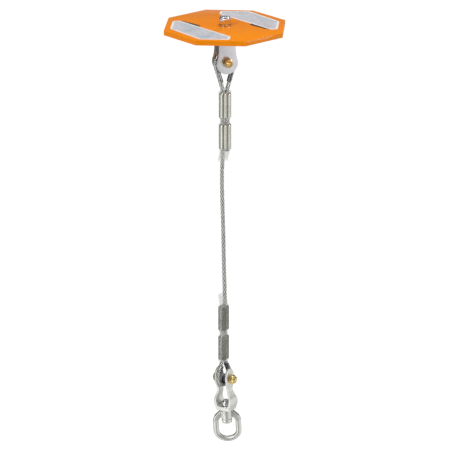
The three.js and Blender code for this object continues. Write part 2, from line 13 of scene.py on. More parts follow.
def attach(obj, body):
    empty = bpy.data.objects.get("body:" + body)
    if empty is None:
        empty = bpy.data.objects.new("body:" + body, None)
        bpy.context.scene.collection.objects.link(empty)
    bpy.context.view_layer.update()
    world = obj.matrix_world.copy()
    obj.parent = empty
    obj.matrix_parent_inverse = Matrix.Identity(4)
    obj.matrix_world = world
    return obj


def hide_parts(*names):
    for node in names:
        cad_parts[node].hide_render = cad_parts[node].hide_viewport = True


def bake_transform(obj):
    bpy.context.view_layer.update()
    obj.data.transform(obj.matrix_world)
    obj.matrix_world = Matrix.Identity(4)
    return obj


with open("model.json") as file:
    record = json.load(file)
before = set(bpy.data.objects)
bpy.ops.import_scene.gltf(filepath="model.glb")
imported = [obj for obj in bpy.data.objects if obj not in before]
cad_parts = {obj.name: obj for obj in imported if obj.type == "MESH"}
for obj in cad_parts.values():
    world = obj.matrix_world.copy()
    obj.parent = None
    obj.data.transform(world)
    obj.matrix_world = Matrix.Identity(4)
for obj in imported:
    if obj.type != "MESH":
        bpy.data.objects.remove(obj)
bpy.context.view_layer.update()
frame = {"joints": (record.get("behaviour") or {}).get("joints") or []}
MM = 0.001
JOINTS = {joint["name"]: joint for joint in frame["joints"]}

# ---- Sizes, as in the CAD model ----

PLATE_FLATS = 178
PLATE_THICK = 7.5
PLATE_HOLE_R = 5.6
SEAT_R = 21
SEAT_DEPTH = 0.4
GAP = 0.3
THRUST_WASHER = {"inner": 5.4, "outer": 12, "thick": 1.5}
STUD_WASHER = {"inner": 5.4, "outer": 9.4, "thick": 1.8}
CLEVIS_GAP = 12.7
CLEVIS_THICK = 4
CLEVIS_WIDTH = 27
CLEVIS_EAR_R = 17.2
STUD_R = 4.9
STUD_END = 21.4
STUD_HEAD = (11, 22, 6)
STUD_NUT = {"flats": 17, "height": 12, "ring_height": 3, "thread_r": STUD_R}
BOLT_R = 3.9
BOLT_HEAD = {"flats": 13, "height": 5.3}
BOLT_NUT = {"flats": 13, "height": 8, "ring_height": 2, "thread_r": BOLT_R}
BOLT_PROUD = 1.6
SPACER_R = 6.9
ROPE_R = 3.175
LEG = 3.4
EYE_R = 15.4
CROWN_DROP = 3.5
UPPER_EYE = {"length": 42, "thimble": 32}
LOWER_EYE = {"length": 27, "thimble": 20}
FERRULE_LENGTH = 39
FERRULE_SPACING = 50
FERRULE_1_TOP = -98.5
FERRULE_4_BOTTOM = -536.5
FERRULE_HALF = (9.2, 7.2)
SLEEVE_WALL = 0.8
SLEEVE_OVERHANG = 20
SLEEVE_TAIL = 2.5
DEAD_END = 4
LOWER_AXIS = (-2.2, 0.0)
JAW_GAP = 16
JAW_EAR = 4
JAW_TOP = 17.5
JAW_FLOOR = -46.5
JAW_BOTTOM = -53.7
PIN_R = 3.9
PIN_HEAD_R = 8.2
PIN_HEAD_HEIGHT = 7.5
SWIVEL_NUT_R = 6.6
SWIVEL_NUT_HEIGHT = 8
SWIVEL_WASHER = {"inner": 4.4, "outer": 9, "thick": 1.2}
RING_HALF = 22.3
RING_HEIGHT = 52.5
RING_ROD_R = 4.45
RING_STRAIGHT = (-13, -34)
BRIDGE_HEIGHT = 13
BRIDGE_TOP_HALF = 11
BRIDGE_HALF_DEPTH = 5.2
BRIDGE_BOSS_R = 8.6

# Heights that follow from the stack of pieces
THRUST_BOTTOM = SEAT_DEPTH - GAP - THRUST_WASHER["thick"]
WEB_TOP = THRUST_BOTTOM - GAP
WEB_BOTTOM = WEB_TOP - CLEVIS_THICK
STUD_WASHER_BOTTOM = PLATE_THICK + GAP
STUD_NUT_SEAT = STUD_WASHER_BOTTOM + STUD_WASHER["thick"] + GAP
UPPER_BOLT_Z = JOINTS["upper_eye_pivot"]["pos_m"][2] / MM
LOWER_BOLT_Z = JOINTS["lower_jaw_pivot"]["pos_m"][2] / MM
UPPER_CROWN_Z = UPPER_BOLT_Z - CROWN_DROP
LOWER_CROWN_Z = LOWER_BOLT_Z + CROWN_DROP
FERRULE_2_BOTTOM = FERRULE_1_TOP - FERRULE_SPACING - FERRULE_LENGTH
FERRULE_3_TOP = FERRULE_4_BOTTOM + FERRULE_SPACING + FERRULE_LENGTH
SWIVEL_WASHER_BOTTOM = JAW_BOTTOM - GAP - SWIVEL_WASHER["thick"]
RING_TOP = SWIVEL_WASHER_BOTTOM - GAP


# ---- Frames ----

def frame_from(x_axis, z_axis, origin):
    """Matrix of a frame with these X and Z axes at an origin in millimetres."""
    x = Vector(x_axis).normalized()
    z = Vector(z_axis).normalized()
    y = z.cross(x)
    matrix = Matrix((x, y, z)).transposed().to_4x4()
    matrix.translation = origin
    return matrix


UP = (0, 0, 1)
upper_bolt_axis = Vector(JOINTS["upper_eye_pivot"]["axis"])
lower_bolt_axis = Vector(JOINTS["lower_jaw_pivot"]["axis"])
ring_axis = Vector(JOINTS["ring_swivel"]["axis"])
jaw_origin = Vector(JOINTS["lower_jaw_pivot"]["pos_m"]) / MM
flat_lower_axis = Vector((lower_bolt_axis.x, lower_bolt_axis.y, 0)).normalized()

CLEVIS_FRAME = frame_from(upper_bolt_axis, UP, (0, 0, 0))
UPPER_EYE_FRAME = frame_from(Vector(UP).cross(upper_bolt_axis), UP, (0, 0, 0))
LOWER_EYE_FRAME = frame_from(Vector(UP).cross(flat_lower_axis), UP, (*LOWER_AXIS, 0))
JAW_FRAME = frame_from(lower_bolt_axis, ring_axis, jaw_origin)
RING_TURN = atan2(-flat_lower_axis.y, flat_lower_axis.x)
RING_FRAME = JAW_FRAME @ Matrix.Translation((0, 0, RING_TOP)) @ Matrix.Rotation(RING_TURN, 4, "Z")
AXIS_X = Matrix.Rotation(pi / 2, 4, "Y")


# ---- Camera ----

def shown(name, data):
    """New object of a mesh, camera or light, in the scene."""
    obj = bpy.data.objects.new(name, data)
    bpy.context.scene.collection.objects.link(obj)
    return obj


CAMERA_AZIMUTH = radians(4.4)
CAMERA_PITCH = radians(19.8)
CAMERA_REACH = 3633
CAMERA_HEIGHT = 995.7

camera_data = bpy.data.cameras.new("camera")
camera_data.lens = 199.4
camera_data.sensor_width = 36
camera_data.clip_end = 60
camera = shown("camera", camera_data)
camera.location = Vector((
    CAMERA_REACH * sin(CAMERA_AZIMUTH), -CAMERA_REACH * cos(CAMERA_AZIMUTH), CAMERA_HEIGHT,
)) * MM
camera.rotation_euler = (pi / 2 - CAMERA_PITCH, 0, CAMERA_AZIMUTH)
bpy.context.scene.camera = camera

# The photograph's orange is more saturated than the filmic view transform can show
bpy.context.scene.view_settings.view_transform = "Standard"


# ---- Mesh helpers ----

def shade(mesh, sharp):
    """Smooth shading, with edges over `sharp` degrees kept."""
    mesh.polygons.foreach_set("use_smooth", [True] * len(mesh.polygons))
    mesh.set_sharp_from_angle(angle=radians(sharp))


def mesh_object(name, vertices, faces, matrix=None, sharp=35, relief=None):
    """A smooth-shaded mesh object from vertices in millimetres, with edges over `sharp` degrees kept.

    `relief` gives each vertex a height from 0 in a groove to 1 on a crest, from which the rope material
    paints shade into the grooves.
    """
    points = np.asarray(vertices, float).reshape(-1, 3)
    if matrix is not None:
        turn = np.array(matrix.to_3x3())
        points = points @ turn.T + np.array(matrix.translation)
    mesh = bpy.data.meshes.new(name)
    mesh.from_pydata((points * MM).tolist(), [], faces)
    mesh.validate()
    if relief is not None:
        mesh.attributes.new("relief", "FLOAT", "POINT").data.foreach_set("value", relief)
    work = bmesh.new()
    work.from_mesh(mesh)
    bmesh.ops.remove_doubles(work, verts=work.verts, dist=2e-6)
    bmesh.ops.recalc_face_normals(work, faces=work.faces)
    work.to_mesh(mesh)
    work.free()
    shade(mesh, sharp)
    return shown(name, mesh)


def ring_faces(count, size, loop=False, start=0):
    """Quads between `count` rings of `size` points; `loop` also joins the last ring to the first."""
    faces = []
    for i in range(count if loop else count - 1):
        here = start + i * size
        there = start + ((i + 1) % count) * size
        for j in range(size):
            k = (j + 1) % size
            faces.append((here + j, here + k, there + k, there + j))
    return faces


def capped_faces(count, size, start=0):
    """Quads between rings, with a flat cap at each end."""
    last = start + (count - 1) * size
    caps = [tuple(range(start + size - 1, start - 1, -1)), tuple(range(last, last + size))]
    return ring_faces(count, size, start=start) + caps


def lathe(name, profile, matrix=None, segments=72, loop=True, sharp=35):
    """Turned piece about Z from (radius, height) points."""
    angles = np.linspace(0, 2 * pi, segments, endpoint=False)
    rings = [
        np.stack([r * np.cos(angles), r * np.sin(angles), np.full(segments, z)], 1) for r, z in profile
    ]
    faces = ring_faces(len(rings), segments, loop=loop)
    return mesh_object(name, np.concatenate(rings), faces, matrix, sharp)


def ringed(name, rings, matrix=None, loop=True):
    """Piece about Z whose rings give radius and height at each angle, as numbers or functions."""
    segments = 96
    angles = np.linspace(0, 2 * pi, segments, endpoint=False)
    out = []
    for radius, height in rings:
        r = radius(angles) if callable(radius) else np.full(segments, float(radius))
        z = height(angles) if callable(height) else np.full(segments, float(height))
        out.append(np.stack([r * np.cos(angles), r * np.sin(angles), z], 1))
    return mesh_object(name, np.concatenate(out), ring_faces(len(out), segments, loop=loop), matrix, 30)


def rod(name, radius, low, high, matrix=None):
    """Plain round rod about Z."""
    return lathe(name, [(0, low), (radius, low), (radius, high), (0, high)], matrix, loop=False)


def prism(name, outline, low, high, matrix=None):
    """Outline in X and Y, extruded from low to high along Z."""
    bottom = [(x, y, low) for x, y in outline]
    top = [(x, y, high) for x, y in outline]
    return mesh_object(name, bottom + top, capped_faces(2, len(outline)), matrix, sharp=30)


def apply_modifiers(obj, sharp=30):
    """Replaces the mesh by its modified one and marks its sharp edges again."""
    graph = bpy.context.evaluated_depsgraph_get()
    mesh = bpy.data.meshes.new_from_object(obj.evaluated_get(graph))
    obj.modifiers.clear()
    obj.data = mesh
    mesh.name = obj.name
    shade(mesh, sharp)
    return obj


def combine(obj, other, operation):
    """Exact boolean of obj with other, which is used up."""
    modifier = obj.modifiers.new("combine", "BOOLEAN")
    modifier.operation = operation
    modifier.solver = "EXACT"
    modifier.object = other
    apply_modifiers(obj)
    bpy.data.objects.remove(other)


def bevelled(obj, width, segments=3, angle=35):
    """Rounds the sharp edges."""
    modifier = obj.modifiers.new("bevel", "BEVEL")
    modifier.width = width * MM
    modifier.segments = segments
    modifier.limit_method = "ANGLE"
    modifier.angle_limit = radians(angle)
    return apply_modifiers(obj, 40)


def forged(obj, voxel, rounds):
    """Melts joined shapes into one skin with soft edges, as a forging has."""
    remesh = obj.modifiers.new("remesh", "REMESH")
    remesh.mode = "VOXEL"
    remesh.voxel_size = voxel * MM
    smooth = obj.modifiers.new("smooth", "SMOOTH")
    smooth.factor = 0.5
    smooth.iterations = rounds
    return apply_modifiers(obj, 80)


def joined(name, objects):
    """One object from several, without merging their surfaces."""
    work = bmesh.new()
    for obj in objects:
        work.from_mesh(obj.data)
        bpy.data.objects.remove(obj)
    mesh = bpy.data.meshes.new(name)
    work.to_mesh(mesh)
    work.free()
    shade(mesh, 35)
    return shown(name, mesh)


def mirrored(points):
    """The same points on the other side of the middle."""
    return [(-x, z) for x, z in points]


def spline(points, step):
    """Points about `step` apart along a centripetal Catmull-Rom curve through the given points."""
    p = np.asarray(points, float)
    p = np.vstack([2 * p[0] - p[1], p, 2 * p[-1] - p[-2]])
    knots = np.concatenate([[0], np.cumsum(np.linalg.norm(np.diff(p, axis=0), axis=1) ** 0.5)])
    dense = []
    for i in range(1, len(p) - 2):
        t0, t1, t2, t3 = knots[i - 1:i + 3]
        t = np.linspace(t1, t2, 24, endpoint=False)[:, None]
        a1 = (t1 - t) / (t1 - t0) * p[i - 1] + (t - t0) / (t1 - t0) * p[i]
        a2 = (t2 - t) / (t2 - t1) * p[i] + (t - t1) / (t2 - t1) * p[i + 1]
        a3 = (t3 - t) / (t3 - t2) * p[i + 1] + (t - t2) / (t3 - t2) * p[i + 2]
        b1 = (t2 - t) / (t2 - t0) * a1 + (t - t0) / (t2 - t0) * a2
        b2 = (t3 - t) / (t3 - t1) * a2 + (t - t1) / (t3 - t1) * a3
        dense.append((t2 - t) / (t2 - t1) * b1 + (t - t1) / (t2 - t1) * b2)
    dense = np.vstack(dense + [p[-2][None]])
    along = lengths_along(dense)
    places = np.linspace(0, along[-1], max(2, int(round(along[-1] / step))) + 1)
    return np.stack([np.interp(places, along, dense[:, k]) for k in range(dense.shape[1])], 1)


def lengths_along(path):
    """Length of a path up to each of its points."""
    return np.concatenate([[0], np.cumsum(np.linalg.norm(np.diff(path, axis=0), axis=1))])


def unit(vectors):
    """Rows scaled to a length of 1."""
    return vectors / np.linalg.norm(vectors, axis=1, keepdims=True)


def sideways(path):
    """Unit normals of a path that lies in a plane, on its left."""
    tangent = unit(np.gradient(path, axis=0))
    return np.stack([-tangent[:, 1], tangent[:, 0]], 1)


def carried_frames(path):
    """Tangents and two normals carried along a path without twist."""
    tangents = unit(np.gradient(path, axis=0))
    side = np.cross(tangents[0], (0.3, 0.9, 0.1))
    normals = [side / np.linalg.norm(side)]
    for tangent in tangents[1:]:
        side = normals[-1] - tangent * np.dot(normals[-1], tangent)
        normals.append(side / np.linalg.norm(side))
    normals = np.array(normals)
    return tangents, normals, np.cross(tangents, normals)


# ---- Materials ----

class Nodes:
    """A node material under construction."""

    def __init__(self, name):
        self.material = bpy.data.materials.new(name)
        self.material.use_nodes = True
        self.tree = self.material.node_tree
        self.shader = self.tree.nodes["Principled BSDF"]
        self.place = self.add("ShaderNodeTexCoord").outputs["Object"]

    def add(self, kind, **values):
        node = self.tree.nodes.new(kind)
        for key, value in values.items():
            if key in node.inputs:
                node.inputs[key].default_value = value
            else:
                setattr(node, key, value)
        return node

    def link(self, source, target):
        self.tree.links.new(source, target)

    def set(self, **values):
        for key, value in values.items():
            self.shader.inputs[key.replace("_", " ")].default_value = value

    def noise(self, scale, detail, stretch=(1, 1, 1)):
        mapping = self.add("ShaderNodeMapping", Scale=stretch)
        self.link(self.place, mapping.inputs["Vector"])
        node = self.add("ShaderNodeTexNoise", Scale=scale, Detail=detail, Roughness=0.5)
        self.link(mapping.outputs["Vector"], node.inputs["Vector"])
        return node.outputs["Fac"]

    def ramp(self, source, stops):
        node = self.add("ShaderNodeValToRGB")
        elements = node.color_ramp.elements
        while len(elements) < len(stops):
            elements.new(0.5)
        for element, (position, colour) in zip(elements, stops):
            element.position = position
            element.color = (*colour, 1)
        self.link(source, node.inputs["Fac"])
        return node.outputs["Color"]

    def colour(self, source, stops):
        self.link(self.ramp(source, stops), self.shader.inputs["Base Color"])

    def mapped(self, source, given, wanted):
        """A source carried over from one range of values to another."""
        node = self.add("ShaderNodeMapRange")
        for socket, value in zip(("From Min", "From Max", "To Min", "To Max"), (*given, *wanted)):
            node.inputs[socket].default_value = value
        self.link(source, node.inputs["Value"])
        return node.outputs["Result"]

    def gloss(self, source, low, high):
        """Roughness from low to high by a noise."""
        self.link(self.mapped(source, (0.3, 0.7), (low, high)), self.shader.inputs["Roughness"])

    def mixed(self, factor, first, second):
        """Mix of two shaders."""
        node = self.add("ShaderNodeMixShader")
        for source, socket in zip((factor, first, second), node.inputs):
            self.link(source, socket)
        return node.outputs[0]

    def bump(self, source, strength, distance):
        node = self.add("ShaderNodeBump", Strength=strength, Distance=distance * MM)
        self.link(source, node.inputs["Height"])
        self.link(node.outputs["Normal"], self.shader.inputs["Normal"])


def paint_material():
    """Glossy orange powder coat with a fine orange-peel skin."""
    nodes = Nodes("orange_paint")
    nodes.set(Coat_Weight=0.35, Coat_Roughness=0.05, Specular_IOR_Level=0.04)
    nodes.colour(nodes.noise(9, 3), [(0.3, (0.92, 0.25, 0.001)), (0.7, (0.96, 0.28, 0.002))])
    nodes.gloss(nodes.noise(60, 3), 0.24, 0.34)
    nodes.bump(nodes.noise(420, 2), 0.015, 0.2)
    return nodes.material


def metal_material(name, dark, light, roughness, grain, stretch, bump, cloud):
    """Bare metal: cloudy colour, a grain that may be drawn out along one axis, and uneven gloss."""
    nodes = Nodes(name)
    nodes.set(Metallic=1.0)
    nodes.colour(nodes.noise(cloud, 5), [(0.3, dark), (0.7, light)])
    nodes.gloss(nodes.noise(cloud * 2.3, 4), *roughness)
    nodes.bump(nodes.noise(grain, 4, stretch), bump, 0.12)
    return nodes.material


def rope_material():
    """Galvanised strand: bright wires, with painted shade darkening the grooves between them."""
    nodes = Nodes("rope_steel")
    nodes.set(Metallic=1.0)
    relief = nodes.add("ShaderNodeAttribute", attribute_name="relief").outputs["Fac"]
    wear_and_groove_shade = nodes.add("ShaderNodeMath", operation="MULTIPLY_ADD")
    nodes.link(nodes.noise(160, 4), wear_and_groove_shade.inputs[0])
    wear_and_groove_shade.inputs[1].default_value = 0.3
    nodes.link(relief, wear_and_groove_shade.inputs[2])
    # Near black in the grooves to bright on the crests: painted shade in the grooves, with a little random
    # tone from the noise
    stops = [(0.4, (0.03, 0.03, 0.027)), (0.75, (0.3, 0.3, 0.275)), (1.0, (0.8, 0.8, 0.76))]
    nodes.colour(wear_and_groove_shade.outputs[0], stops)
    nodes.gloss(nodes.noise(300, 3), 0.2, 0.34)
    nodes.bump(nodes.noise(900, 3), 0.06, 0.1)
    return nodes.material


def yellow_zinc_material():
    """Yellow zinc plate: gold with greenish and reddish clouds."""
    nodes = Nodes("yellow_zinc")
    nodes.set(Metallic=1.0)
    nodes.colour(nodes.noise(140, 3), [
        (0.28, (0.5, 0.28, 0.08)), (0.45, (0.86, 0.6, 0.2)), (0.6, (0.97, 0.8, 0.4)),
        (0.75, (0.7, 0.58, 0.26)),
    ])
    nodes.gloss(nodes.noise(200, 3), 0.16, 0.28)
    nodes.bump(nodes.noise(700, 3), 0.1, 0.1)
    return nodes.material


def plastic_material(name, dark, light, roughness):
    nodes = Nodes(name)
    nodes.colour(nodes.noise(120, 3), [(0.3, dark), (0.7, light)])
    nodes.gloss(nodes.noise(90, 3), *roughness)
    nodes.bump(nodes.noise(900, 2), 0.06, 0.1)
    return nodes.material


def clear_material():
    """Clear flexible tube: a thin milky film that is mostly seen through, with a soft gloss."""
    nodes = Nodes("clear_tube")
    nodes.set(Alpha=0.2, Coat_Weight=1.0, Coat_Roughness=0.06)
    nodes.colour(nodes.noise(70, 3), [(0.3, (0.66, 0.66, 0.62)), (0.7, (0.82, 0.82, 0.79))])
    nodes.gloss(nodes.noise(60, 3), 0.1, 0.2)
    nodes.bump(nodes.noise(130, 2, (1, 1, 0.3)), 0.1, 0.2)
    return nodes.material


def print_material():
    """Silver-lilac label film with faint blank bars and blocks in place of any print."""
    nodes = Nodes("label_print")
    bricks = nodes.add("ShaderNodeTexBrick", offset=0.37, squash=0.7, squash_frequency=3, **{
        "Color1": (0.42, 0.45, 0.55, 1), "Color2": (0.68, 0.65, 0.72, 1), "Mortar": (0.9, 0.91, 0.93, 1),
        "Scale": 1.0, "Mortar Size": 0.0016, "Mortar Smooth": 0.3, "Bias": 0.1,
        "Brick Width": 0.021, "Row Height": 0.0052,
    })
    turned = nodes.add("ShaderNodeMapping", Rotation=(0, 0, radians(45)))
    nodes.link(nodes.place, turned.inputs["Vector"])
    nodes.link(turned.outputs["Vector"], bricks.inputs["Vector"])
    tint = nodes.ramp(nodes.noise(26, 2), [
        (0.3, (0.5, 0.58, 0.66)), (0.5, (0.74, 0.75, 0.8)), (0.7, (0.72, 0.63, 0.67)),
    ])
    mix = nodes.add("ShaderNodeMix", data_type="RGBA")
    mix.inputs[0].default_value = 0.55
    nodes.link(bricks.outputs["Color"], mix.inputs[6])
    nodes.link(tint, mix.inputs[7])
    nodes.link(mix.outputs[2], nodes.shader.inputs["Base Color"])
    nodes.set(Metallic=0.25)
    nodes.gloss(nodes.noise(80, 3), 0.28, 0.42)
    nodes.bump(nodes.noise(300, 2), 0.05, 0.1)
    return nodes.material


# Dark and light colour, roughness, then scale, stretch and depth of the grain, and scale of the clouds
METALS = {
    "clevis_steel": ((0.74, 0.74, 0.76), (0.84, 0.84, 0.86), (0.3, 0.4), 260, (1, 1, 0.12), 0.14, 30),
    "stainless": ((0.7, 0.7, 0.73), (0.85, 0.85, 0.88), (0.12, 0.22), 500, (1, 1, 1), 0.05, 30),
    # Near-black thimble steel: painted shade, for the thimbles that sit in shadow inside the eyes
    "thimble_painted_shade": ((0.2, 0.2, 0.2), (0.38, 0.38, 0.39), (0.22, 0.34), 220, (1, 1, 1), 0.08, 30),
    "ferrule": ((0.62, 0.62, 0.53), (0.78, 0.78, 0.69), (0.15, 0.22), 300, (1, 1, 0.02), 0.04, 50),
    # A darker copy of the ferrule metal for the lower pair: painted shade
    "ferrule_painted_shade": ((0.17, 0.17, 0.135), (0.28, 0.28, 0.235), (0.24, 0.34), 300, (1, 1, 0.02), 0.05, 50),
    "forged": ((0.82, 0.82, 0.77), (0.94, 0.94, 0.9), (0.42, 0.54), 320, (1, 1, 1), 0.08, 90),
}

# Dark and light colour, and roughness
PLASTICS = {
    "label_border": ((0.86, 0.83, 0.8), (0.93, 0.9, 0.87), (0.3, 0.4)),
    "label_stripe": ((0.02, 0.018, 0.015), (0.05, 0.04, 0.03), (0.3, 0.4)),
    "nylon": ((0.55, 0.57, 0.6), (0.68, 0.7, 0.72), (0.35, 0.5)),
    "rope_end": ((0.12, 0.11, 0.14), (0.2, 0.19, 0.23), (0.4, 0.55)),
}

LOOKS = {
    "orange_paint": paint_material(),
    "label_print": print_material(),
    "yellow_zinc": yellow_zinc_material(),
    "rope_steel": rope_material(),
    "clear_tube": clear_material(),
}
LOOKS.update((name, metal_material(name, *values)) for name, values in METALS.items())
LOOKS.update((name, plastic_material(name, *values)) for name, values in PLASTICS.items())


def finished(obj, body, look, *nodes):
    """Gives a piece its material, its body and the CAD nodes it stands for."""
    obj.data.materials.clear()
    obj.data.materials.append(LOOKS[look])
    if body:
        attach(obj, body)
    if nodes:
        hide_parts(*nodes)
    return obj


# ---- Fasteners ----

HEX_FACE = 0.25  # how far a hexagon's chamfered face lies inside its flats


def hex_radius(flats):
    """Radius of a hexagon with slightly blunted corners, as a function of angle."""
    def radius(angles):
        local = (angles + pi / 6) % (pi / 3) - pi / 6
        return np.minimum(flats / 2 / np.cos(local), flats / 2 / cos(pi / 6) - 0.12)
    return radius


def chamfer_height(flats, level, sign):
    """Height of the edge where a hexagon's 30 degree chamfer meets its sides."""
    radius = hex_radius(flats)
    return lambda angles: level + sign * (radius(angles) - (flats / 2 - HEX_FACE)) * tan(pi / 6)


def lock_nut(name, node, nut, seat, matrix, body, look):
    """Hexagon lock nut with a round collar, and the nylon ring that the collar holds."""
    flats, height, ring_height, thread_r = nut.values()
    hex_top = seat + height - ring_height
    top = seat + height
    face = flats / 2 - HEX_FACE
    collar = flats / 2 - 0.6
    bore = thread_r + GAP
    pocket = thread_r + 1.9
    side = hex_radius(flats)
    steel = ringed(f"{name}_fine", [
        (bore + 0.5, seat), (face, seat), (side, chamfer_height(flats, seat, 1)),
        (side, chamfer_height(flats, hex_top, -1)), (face, hex_top), (collar, hex_top + 0.15),
        (collar, top - 1), (collar - 0.3, top - 0.35), (collar - 1, top), (pocket + 0.2, top),
        (pocket, top - 0.2), (pocket, hex_top), (bore, hex_top), (bore, seat + 0.5),
    ], matrix)
    finished(steel, body, look, node)
    low = hex_top + GAP
    high = top - GAP
    inner = thread_r + 0.1
    outer = thread_r + 1.7
    nylon = lathe(f"{name}_ring_fine", [
        (inner, low), (outer, low), (outer, high - 0.3), (outer - 0.3, high), (inner + 0.4, high - 0.1),
        (inner, high - 0.4),
    ], matrix)
    finished(nylon, body, "nylon", f"{node}_ring")


def thread_rings(radius, pitch, low, high, taper):
    """Rings of a screw thread about Z that fades out over its last `taper` millimetres."""
    depth = 0.5 * pitch
    steps = ceil((high - low) / pitch * 10)
    rings = []
    for i in range(steps + 1):
        z = low + (high - low) * i / steps
        inset = max(0.0, z - (high - taper))

        def wave(angles, z=z, inset=inset):
            phase = (z / pitch - angles / (2 * pi)) % 1
            groove = depth * (1 - np.abs(2 * phase - 1))
            return np.minimum(radius - groove, radius - inset)
        rings.append((wave, z))
    return rings


def hex_bolt(name, half_span, matrix):
    """M8 clevis bolt along Z: hexagon head below, thread end above."""
    flats = BOLT_HEAD["flats"]
    seat = half_span + GAP
    foot = -seat - BOLT_HEAD["height"]
    end = seat + BOLT_NUT["height"] + BOLT_PROUD
    side = hex_radius(flats)
    face = flats / 2 - HEX_FACE
    rings = [
        (0, foot + 0.2), (3.2, foot + 0.2), (3.6, foot), (face - 0.2, foot),
        (side, chamfer_height(flats, foot, 1)), (side, -seat - 0.4), (face, -seat), (BOLT_R, -seat),
    ]
    rings += thread_rings(BOLT_R, 1.25, seat + 1, end, 1.0)
    rings.append((0, end))
    return ringed(name, rings, matrix, loop=False)


def washer(name, size, low, matrix, body):
    """Flat washer with softened outer edges."""
    inner, outer, thick = size.values()
    high = low + thick
    edge = 0.25
    piece = lathe(f"{name}_fine", [
        (inner, low), (outer - edge, low), (outer, low + edge), (outer, high - edge), (outer - edge, high),
        (inner, high),
    ], matrix)
    finished(piece, body, "stainless", name)


def clevis_fasteners(prefix, body, gap, half_span, base):
    """Bolt, lock nut, nylon ring and spacer of one clevis; `base` puts Z along the bolt."""
    bolt = hex_bolt(f"{prefix}_bolt_fine", half_span, base)
    finished(bolt, body, "yellow_zinc", f"{prefix}_bolt")
    seat = half_span + GAP
    lock_nut(f"{prefix}_nut", f"{prefix}_bolt_nut", BOLT_NUT, seat, base, body, "yellow_zinc")
    low = -gap / 2 + GAP
    high = gap / 2 - GAP
    bore = BOLT_R + GAP
    spacer = lathe(f"{prefix}_spacer_fine", [
        (bore, low), (SPACER_R - 0.4, low), (SPACER_R, low + 0.4), (SPACER_R, high - 0.4),
        (SPACER_R - 0.4, high), (bore, high),
    ], base)
    finished(spacer, body, "stainless", f"{prefix}_spacer")


# ---- Bearing plate ----

def octagon(flats):
    corner = flats / 2 / cos(pi / 8)
    angles = [pi / 8 + i * pi / 4 for i in range(8)]
    return [(corner * cos(a), corner * sin(a)) for a in angles]


def build_plate():
    plate = prism("anchor_plate_fine", octagon(PLATE_FLATS), 0, PLATE_THICK)
    combine(plate, rod("hole", PLATE_HOLE_R, -2, 12), "DIFFERENCE")
    combine(plate, rod("seat", SEAT_R, -2, SEAT_DEPTH), "DIFFERENCE")
    bevelled(plate, 0.9, 4)
    finished(plate, "plate", "orange_paint", "anchor_plate")


LABEL_CORNERS = [(-80.5, 17), (-80.5, -27), (-32, -82), (13, -81.5), (13.5, -64), (-70.5, 20)]
STRIPE_CORNERS = [(-69, 19), (-38.5, -12), (-36.5, -7.5), (-43, 0.5), (-60, 14.5)]
LABEL_BORDER = 3.2


def inset(corners, distance):
    """A counter-clockwise convex outline moved inwards."""
    lines = []
    count = len(corners)
    for i in range(count):
        a = Vector(corners[i])
        b = Vector(corners[(i + 1) % count])
        along = (b - a).normalized()
        lines.append((a + Vector((-along.y, along.x)) * distance, along))
    out = []
    for i in range(count):
        (p, d), (q, e) = lines[i - 1], lines[i]
        t = ((q - p).x * e.y - (q - p).y * e.x) / (d.x * e.y - d.y * e.x)
        out.append(tuple(p + d * t))
    return out


def pulled_curve(start, corner, end, steps):
    """Points of the curve from start to end that a corner pulls towards itself."""
    out = []
    for k in range(steps + 1):
        t = k / steps
        out.append(tuple(start * (1 - t) ** 2 + corner * 2 * t * (1 - t) + end * t * t))
    return out


def rounded(corners, radius):
    """Outline with each corner replaced by a short curve."""
    out = []
    count = len(corners)
    for i in range(count):
        corner = Vector(corners[i])
        before = corner + (Vector(corners[i - 1]) - corner).normalized() * radius
        after = corner + (Vector(corners[(i + 1) % count]) - corner).normalized() * radius
        out += pulled_curve(before, corner, after, 5)
    return out


def build_labels():
    field_corners = inset(LABEL_CORNERS, LABEL_BORDER)
    for name, turn in (("label_left", 0), ("label_right", pi)):
        matrix = Matrix.Rotation(turn, 4, "Z")
        base = PLATE_THICK + 0.02
        film = prism(f"{name}_film", rounded(LABEL_CORNERS, 3), base, base + 0.25, matrix)
        finished(film, "plate", "label_border", name)
        field = prism(f"{name}_print", rounded(field_corners, 2), base + 0.2, base + 0.3, matrix)
        finished(field, "plate", "label_print")
        stripe = prism(f"{name}_stripe", rounded(STRIPE_CORNERS, 1), base, base + 0.22, matrix)
        finished(stripe, "plate", "label_stripe")


# ---- Upper clevis and stud ----

def arc(centre, radius, start, end, steps):
    """Points on an arc, angles in degrees."""
    out = []
    for i in range(steps + 1):
        angle = radians(start + (end - start) * i / steps)
        out.append((centre[0] + radius * cos(angle), centre[1] + radius * sin(angle)))
    return out


UPRIGHT = Matrix.Rotation(pi / 2, 4, "X")


def upright_prism(name, outline, half, turn=0.0):
    """Outline in (across, height) extruded along Y both ways, then turned about Z."""
    return prism(name, outline, -half, half, Matrix.Rotation(turn, 4, "Z") @ UPRIGHT)


def placed(obj, matrix):
    """Moves a mesh made about the origin into a frame given in millimetres."""
    moved = matrix.copy()
    moved.translation = matrix.translation * MM
    obj.data.transform(moved)
    return obj


TRIM = 40  # half depth of outlines that are trimmed by another shape


